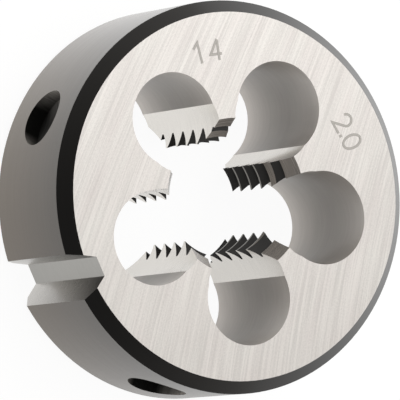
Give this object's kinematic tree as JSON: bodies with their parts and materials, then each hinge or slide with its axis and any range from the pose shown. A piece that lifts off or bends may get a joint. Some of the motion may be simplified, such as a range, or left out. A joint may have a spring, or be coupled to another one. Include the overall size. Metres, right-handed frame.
{
  "type": "threading die",
  "caption": "Round steel threading die: a thick disc with a threaded bore opened by round chip holes, a V notch and screw dimples in the rim.",
  "frame": {"origin": "on the thread's axis, in the flat back face that the die rests on", "axes": "+Z along the thread's axis, out of the front face; the rim's V notch faces -X"},
  "size_m": [0.0379, 0.038, 0.014],
  "materials": {
    "ground_steel": "ground faces, dark blued edges"
  },
  "bodies": {
    "root": {"threading_die": "ground_steel"}
  },
  "joints": []
}
